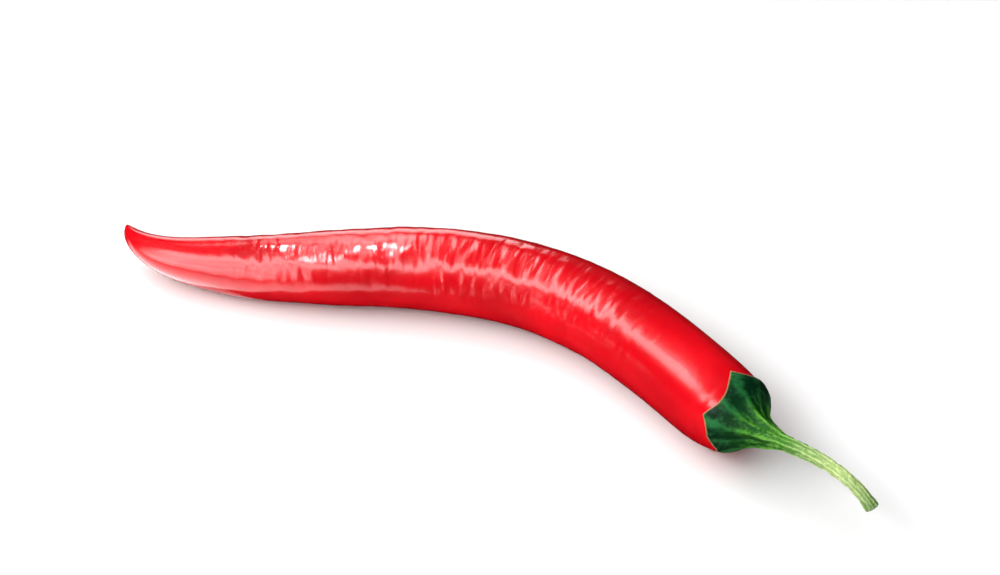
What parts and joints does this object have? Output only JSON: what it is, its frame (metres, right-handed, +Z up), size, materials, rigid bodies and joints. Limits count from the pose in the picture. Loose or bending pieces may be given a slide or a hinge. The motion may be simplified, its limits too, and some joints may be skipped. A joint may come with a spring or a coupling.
{
  "type": "chilli pepper",
  "caption": "Long curved red chilli pepper lying on its side: a glossy tapered pod with a hooked tip, a green calyx cap with a pointed edge, and an arched cut stem.",
  "frame": {"origin": "bottom centre of the whole chilli's box, on the surface that it rests on", "axes": "+X along the straight line from the pod's tip to the stem's cut end, +Z up from the surface that it rests on"},
  "size_m": [0.1728, 0.0406, 0.0189],
  "materials": {
    "pod_skin": "gloss",
    "calyx_skin": "satin",
    "stem_skin": "matte"
  },
  "bodies": {
    "root": {"pod": "pod_skin", "calyx": "calyx_skin", "stem": "stem_skin"}
  },
  "joints": []
}
